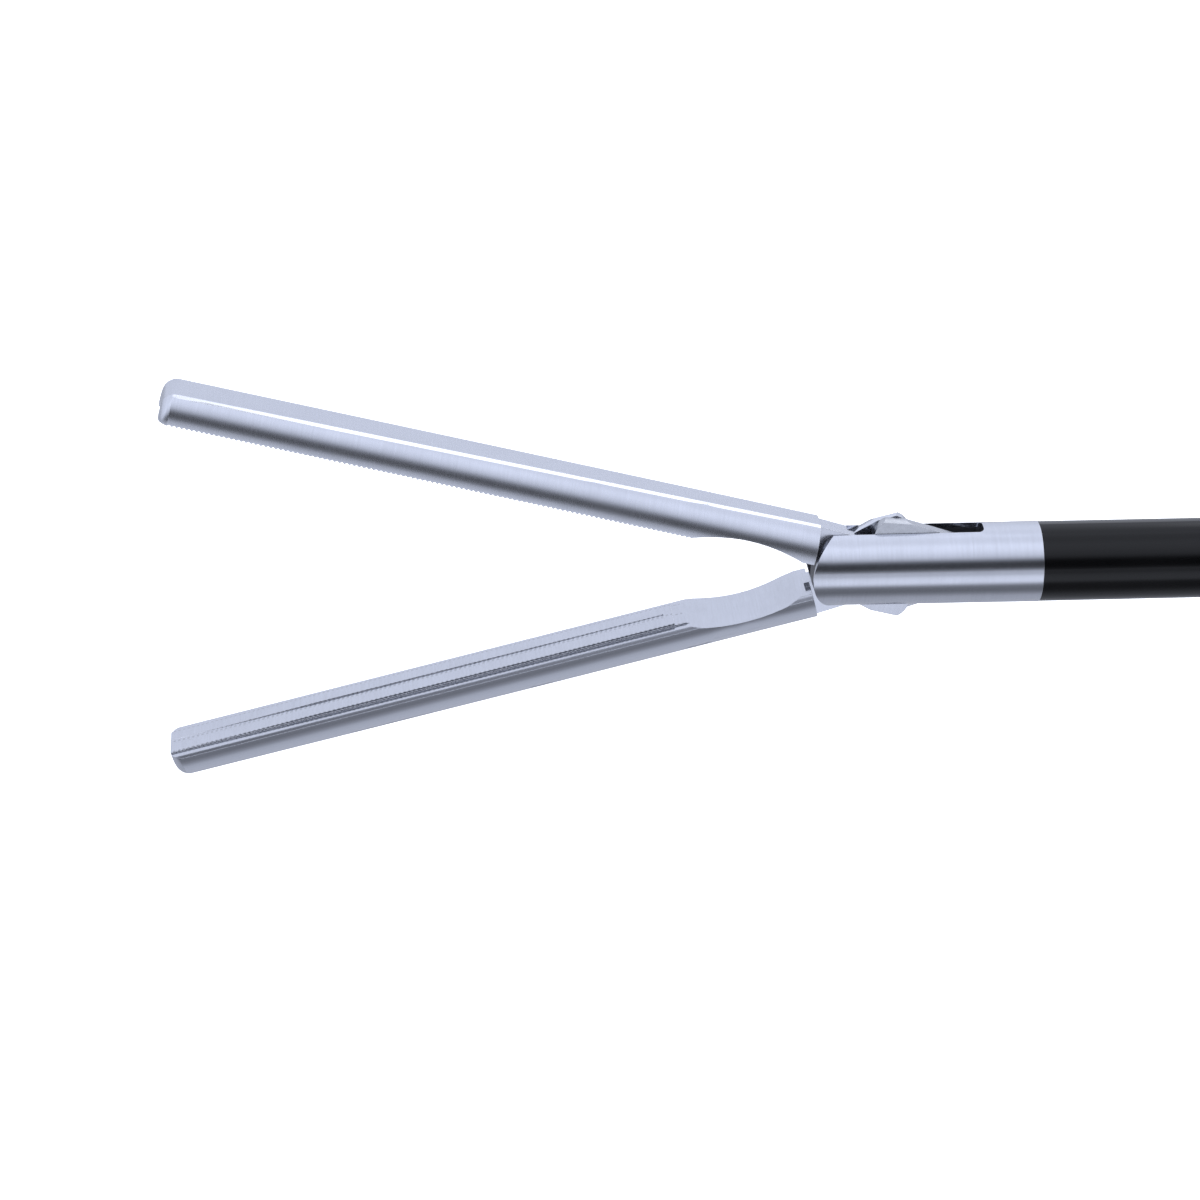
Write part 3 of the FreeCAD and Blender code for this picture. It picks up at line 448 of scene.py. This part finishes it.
def ground_steel(name, lean=0.0, stretch=(9, 0.5, 0.5), fine=2.2, colour=STEEL, roughness=(0.14, 0.20),
                 depth=0.0003, edge_radius=0.03, contrast=0.06, finish=None):
    """Ground metal. stretch is how fine the scratches are along each direction, per millimetre, depth
    their height and edge_radius the rounding of edges, both in millimetres. finish is a function that
    changes the look at the piece's own places."""
    material, tree = shader_tree(name)
    where = use(tree, millimetres, {"Lean": (0, lean, 0)})["Vector"]
    marks = use(tree, grinding_marks, {"Vector": where, "Stretch": stretch, "Fine": fine})
    edges = use(tree, soft_edges, {"Radius": edge_radius * MM})
    dark = opaque(part * (1 - contrast) for part in colour)
    light = opaque(min(1.0, part * (1 + contrast)) for part in colour)
    tone = ramp(tree, marks["Tone"], list(zip(TONE_RANGE, (dark, light))))
    # The colour at edges, lighter than the steel, is a painted highlight; their normals are rounded too.
    look = {"Where": where, "Edge": edges["Edge"], "Normal": edges["Normal"],
            "Colour": mixed(tree, "RGBA", edges["Edge"], tone, opaque(EDGE_PAINTED_HIGHLIGHT)),
            "Roughness": ranged(tree, marks["Tone"], *TONE_RANGE, roughness[1], roughness[0])}
    if finish:
        finish(tree, look)
    bump = place(tree, "ShaderNodeBump", {"Height": marks["Height"], "Distance": depth * MM, "Strength": 1.0,
                                          "Normal": look["Normal"]})
    shader = place(tree, "ShaderNodeBsdfPrincipled", {
        "Base Color": look["Colour"], "Metallic": 1.0, "Roughness": look["Roughness"],
        "Normal": bump.outputs[0]})
    surfaced(tree, shader.outputs[0])
    return material


def jaw_finish(lean, up, painted_back_light=None):
    """Finish for ground_steel of a jaw: its turned back, which may be painted lighter as painted light, the
    polished crest beside the flat and painted shade in the valleys of its teeth."""
    def finish(tree, look):
        places = use(tree, jaw_places, {"Lean": (0, lean, 0), "Up": up})
        plain = maths(tree, "MULTIPLY", places["Turned"], maths(tree, "SUBTRACT", 1.0, look["Edge"]))
        rounded = mixed(tree, "VECTOR", plain, look["Normal"], places["Round"])
        look["Normal"] = mixed(tree, "VECTOR", places["Crest"], rounded, places["Polished"])
        look["Roughness"] = mixed(tree, "FLOAT", places["Crest"], look["Roughness"], CREST_ROUGHNESS)
        # Painted shade: the valleys between the teeth are coloured darker.
        look["Colour"] = mixed(tree, "RGBA", places["Gaps"], look["Colour"], opaque(TOOTH_SHADE))
        # Painted light: the turned back and rims take a lighter copy of the steel.
        if painted_back_light:
            look["Colour"] = mixed(tree, "RGBA", places["Turned"], look["Colour"], opaque(painted_back_light))
    return finish


def dress(material, *names):
    """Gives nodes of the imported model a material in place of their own."""
    for name in names:
        for slot in nodes[name].material_slots:
            slot.material = material


dress(ground_steel("jaw_upper_steel", lean=-JAW_OPEN, roughness=(0.24, 0.30), edge_radius=0.05,
                   finish=jaw_finish(-JAW_OPEN, 1.0)), "jaw_upper")


# Lower jaw as the photograph shows it, in place of jaw_lower: the toothed ridge along its face is worn
# low and wide, with its groove along the middle. It is ground from the same steel as the upper jaw,
# with its back painted lighter as painted light, and turns on the same pin.
# Painted light: the lower jaw's back and rims are a lighter copy of the steel.
LOWER_BACK_PAINTED_GAIN = 1.22
LOWER_BACK_PAINTED_LIGHT = tuple(LOWER_BACK_PAINTED_GAIN * part for part in STEEL)
RIDGE_ACROSS = [0.0, 0.24, 0.60]
RIDGE_WORN_ACROSS = [0.0, 0.27, 1.40]
RIDGE_ACROSS_SLACK = 0.001
RIDGE_WORN_FROM = [34.0, 43.6]
RIDGE_WORN_HEIGHT = [0.25, 0.05]
RIDGE_END = 10.8
FACE_SLACK = 0.004
MERGE_DISTANCE = 0.0005 * MM
SHARP_ANGLE = math.radians(25)


def merged_copy(node, name):
    """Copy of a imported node's mesh with its doubled points merged and its stored normals left out."""
    mesh = node.data.copy()
    mesh.name = name
    shape = bmesh.new()
    shape.from_mesh(mesh)
    bmesh.ops.remove_doubles(shape, verts=shape.verts, dist=MERGE_DISTANCE)
    shape.to_mesh(mesh)
    shape.free()
    for stored in [layer.name for layer in mesh.attributes if "normal" in layer.name]:
        mesh.attributes.remove(mesh.attributes[stored])
    return mesh


def wear_ridge(mesh):
    """Lowers and widens the ridge. Heights above the face shrink to RIDGE_WORN_HEIGHT of themselves, less
    towards the tip, where the jaws meet first, and distances across go from RIDGE_ACROSS to
    RIDGE_WORN_ACROSS, straight from one value to the next."""
    points = np.empty(len(mesh.vertices) * 3)
    mesh.vertices.foreach_get("co", points)
    x, y, z = points.reshape(-1, 3).T / MM
    level, rise = math.cos(JAW_OPEN), math.sin(JAW_OPEN)
    along = JAW_START - (level * x + rise * z)
    height = JAW_AXIS - (level * z - rise * x)
    side = np.abs(y)
    ridge = (along > RIDGE_END) & (height < FACE_SLACK) & (side < RIDGE_ACROSS[-1] + RIDGE_ACROSS_SLACK)
    kept = np.interp(along, RIDGE_WORN_FROM, RIDGE_WORN_HEIGHT)
    sunk = np.where(ridge, np.minimum(height, 0) * (1 - kept), 0)
    across = np.where(ridge, np.sign(y) * np.interp(side, RIDGE_ACROSS, RIDGE_WORN_ACROSS), y)
    moved = np.stack([x - rise * sunk, across, z + level * sunk], axis=1) * MM
    mesh.vertices.foreach_set("co", moved.ravel())


jaw_mesh = merged_copy(nodes["jaw_lower"], "lower_jaw_worn")
wear_ridge(jaw_mesh)
jaw_mesh.shade_smooth()
jaw_mesh.set_sharp_from_angle(angle=SHARP_ANGLE)
jaw_mesh.materials.clear()
jaw_mesh.materials.append(ground_steel("jaw_lower_steel", lean=JAW_OPEN,
                                       finish=jaw_finish(JAW_OPEN, -1.0, LOWER_BACK_PAINTED_LIGHT)))
jaw = bpy.data.objects.new("lower_jaw_worn", jaw_mesh)
bpy.context.scene.collection.objects.link(jaw)
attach(jaw, "lower_jaw")
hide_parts("jaw_lower")


# Slotted tip of the shaft, clevis, with the jaws' pivot pin, whose ends are riveted and turned flush
# with it: stainless steel, turned on a lathe, so its fine marks run round it. Inside, it is rough and
# painted dark as painted shade.
BORE_RADIUS = 2.2
# Painted shade for the steel inside the bore.
BORE_PAINTED_SHADE = (0.16, 0.16, 0.17)
DULL_ROUGHNESS = 0.5


def rough_and_shaded_inside(tree, look):
    """Finish for ground_steel: rough, and painted dark as painted shade, nearer to the shaft's axis than
    BORE_RADIUS.
    """
    spokes = vector_maths(tree, "MULTIPLY", look["Where"], (0, 1, 1))
    inside = maths(tree, "LESS_THAN", vector_maths(tree, "LENGTH", spokes), BORE_RADIUS)
    # Painted shade: the steel inside the bore is coloured dark.
    look["Colour"] = mixed(tree, "RGBA", inside, look["Colour"], opaque(BORE_PAINTED_SHADE))
    look["Roughness"] = mixed(tree, "FLOAT", inside, look["Roughness"], DULL_ROUGHNESS)


tip_steel = ground_steel("tip_steel", stretch=(14, 0.35, 0.35), fine=2.6, roughness=(0.15, 0.21),
                         depth=0.0002, finish=rough_and_shaded_inside)
dress(tip_steel, "clevis", "jaw_pivot_pin")


# Links and the rivets at the jaws' elbows: punched from sheet steel, tumbled smooth and a little
# darker than the jaws; the rivets are headed in place.
link_steel = ground_steel("link_steel", stretch=(3, 3, 3), fine=3.0, colour=(0.53, 0.545, 0.58),
                          roughness=(0.22, 0.32), contrast=0.10)
dress(link_steel, "link_upper", "link_lower", "elbow_rivet_upper", "elbow_rivet_lower")


# Steel inside the shaft and the handle: the tube, the drive rod with its fork, pin and ball end, the
# hub's clip and the lever's pin. Drawn or turned, left dull, and seen only where a slot is open.
inner_steel = ground_steel("inner_steel", stretch=(2, 6, 6), fine=3.0, colour=(0.22, 0.22, 0.225),
                           roughness=(0.44, 0.56), depth=0.0004)
dress(inner_steel, "outer_tube", "drive_rod", "rod_fork", "rod_pin", "rod_ball", "hub_clip",
      "lever_pivot_pin")


# Hub on the tube, gland nut and the lever's saddle: turned and milled stainless steel, left with
# coarser marks than the tip, since none of them shows outside.
hub_steel = ground_steel("hub_steel", stretch=(10, 0.4, 0.4), fine=2.4, colour=(0.60, 0.61, 0.63),
                         roughness=(0.22, 0.32), depth=0.0006)
dress(hub_steel, "tube_hub", "gland_nut", "ball_saddle")


# Screws: the three that hold the handle's shells together and the knob's grub screw, of hardened
# steel, oiled dark.
screw_steel = ground_steel("screw_steel", stretch=(4, 4, 4), fine=3.0, colour=(0.30, 0.30, 0.31),
                           roughness=(0.28, 0.40), depth=0.0006, contrast=0.2)
dress(screw_steel, "housing_screws", "knob_grub_screw")


# Post for the current lead and the leaf that reaches the hub from it: nickel-plated brass, turned,
# and a punched strip of phosphor bronze.
post_metal = ground_steel("post_metal", stretch=(0.5, 0.5, 9), fine=2.4, colour=(0.70, 0.68, 0.62),
                          roughness=(0.16, 0.24), contrast=0.08)
leaf_metal = ground_steel("leaf_metal", stretch=(2, 7, 2), fine=3.0, colour=(0.72, 0.44, 0.22),
                          roughness=(0.24, 0.34), depth=0.0004)
dress(post_metal, "contact_post")
dress(leaf_metal, "contact_leaf")


# Insulation of the shaft: a black polymer sleeve shrunk on the steel tube, satin, with faint lines
# along it from the die and a few rubbed patches.
INSULATION_BLACK = (0.0014, 0.0014, 0.0016)
INSULATION_RUBBED = (0.0028, 0.0028, 0.0031)
SPECK_SHARE = 0.5
RUBBED_RANGE = (0.35, 0.72)


def plastic_effect():
    """Skin of moulded plastic: a fine eroded grain and wide faint patches, both from 0 to 1."""
    tree, given, made = effect("plastic_skin", {"Vector": "Vector", "Stretch": "Vector", "Grain": "Float"},
                               {"Height": "Float", "Patch": "Float"})
    drawn = vector_maths(tree, "MULTIPLY", given["Vector"], given["Stretch"])
    cells = place(tree, "ShaderNodeTexVoronoi", {"Vector": drawn, "Scale": given["Grain"]})
    speck = noise(tree, drawn, scale=given["Grain"], detail=3.0, roughness=0.5)
    patch = noise(tree, given["Vector"], scale=0.16, detail=5.0, roughness=0.6)
    tree.links.new(mixed(tree, "FLOAT", SPECK_SHARE, cells.outputs["Distance"], speck), made["Height"])
    tree.links.new(patch, made["Patch"])
    return tree


plastic_skin = plastic_effect()


def moulded(name, colour, rubbed, stretch=(1, 1, 1), grain=6.0, depth=0.02, roughness=(0.34, 0.46),
            edge_radius=0.05, index=1.5):
    """Moulded plastic. grain is the texture's fineness per millimetre, depth its height in millimetres and
    index the refraction of the skin."""
    material, tree = shader_tree(name)
    where = use(tree, millimetres)["Vector"]
    skin = use(tree, plastic_skin, {"Vector": where, "Stretch": stretch, "Grain": grain})
    edges = use(tree, soft_edges, {"Radius": edge_radius * MM})
    tone = ramp(tree, skin["Patch"], list(zip(RUBBED_RANGE, (opaque(colour), opaque(rubbed)))))
    shade = mixed(tree, "RGBA", edges["Edge"], tone, opaque(rubbed))
    satin = ranged(tree, skin["Patch"], *TONE_RANGE, *roughness)
    bump = place(tree, "ShaderNodeBump", {"Height": skin["Height"], "Distance": depth * MM, "Strength": 1.0,
                                          "Normal": edges["Normal"]})
    shader = place(tree, "ShaderNodeBsdfPrincipled", {
        "Base Color": shade, "Roughness": satin, "Normal": bump.outputs[0], "IOR": index})
    surfaced(tree, shader.outputs[0])
    return material


insulation_black = moulded("insulation_black", INSULATION_BLACK, INSULATION_RUBBED, stretch=(0.05, 1, 1),
                           grain=7.0, depth=0.0002, roughness=(0.09, 0.13), index=1.38)
dress(insulation_black, "insulation_sleeve")


# Rotation knob and the handle's two shells with the thumb lever: glass-filled nylon, moulded in tools
# with an eroded surface, so they are matt and finely grained. The knob is a shade lighter.
HANDLE_BLACK = (0.020, 0.021, 0.023)
HANDLE_RUBBED = (0.034, 0.035, 0.038)
KNOB_GREY = (0.055, 0.058, 0.064)
KNOB_RUBBED = (0.085, 0.088, 0.095)
handle_plastic = moulded("handle_plastic", HANDLE_BLACK, HANDLE_RUBBED, grain=3.2, depth=0.03)
knob_plastic = moulded("knob_plastic", KNOB_GREY, KNOB_RUBBED, grain=3.2, depth=0.03)
dress(handle_plastic, "handle_left", "handle_right", "thumb_lever")
dress(knob_plastic, "rotation_knob")


# Bush in the handle's front, which the hub turns in, and the spacers on the rod: acetal, left its
# natural milky white.
ACETAL = (0.72, 0.71, 0.67)
ACETAL_LIGHT = (0.80, 0.79, 0.76)
acetal = moulded("acetal", ACETAL, ACETAL_LIGHT, grain=2.0, depth=0.01, roughness=(0.30, 0.40))
dress(acetal, "front_bush", "rod_spacers")


# Seal round the rod and friction ring of the hub: silicone rubber, moulded, dull blue-grey. The gland
# nut squeezes the one, and the other sits in a groove.
SILICONE = (0.15, 0.19, 0.24)
SILICONE_LIGHT = (0.20, 0.24, 0.30)
seal_rubber = moulded("seal_rubber", SILICONE, SILICONE_LIGHT, grain=5.0, depth=0.01, roughness=(0.5, 0.6))
dress(seal_rubber, "rod_seal", "friction_ring")
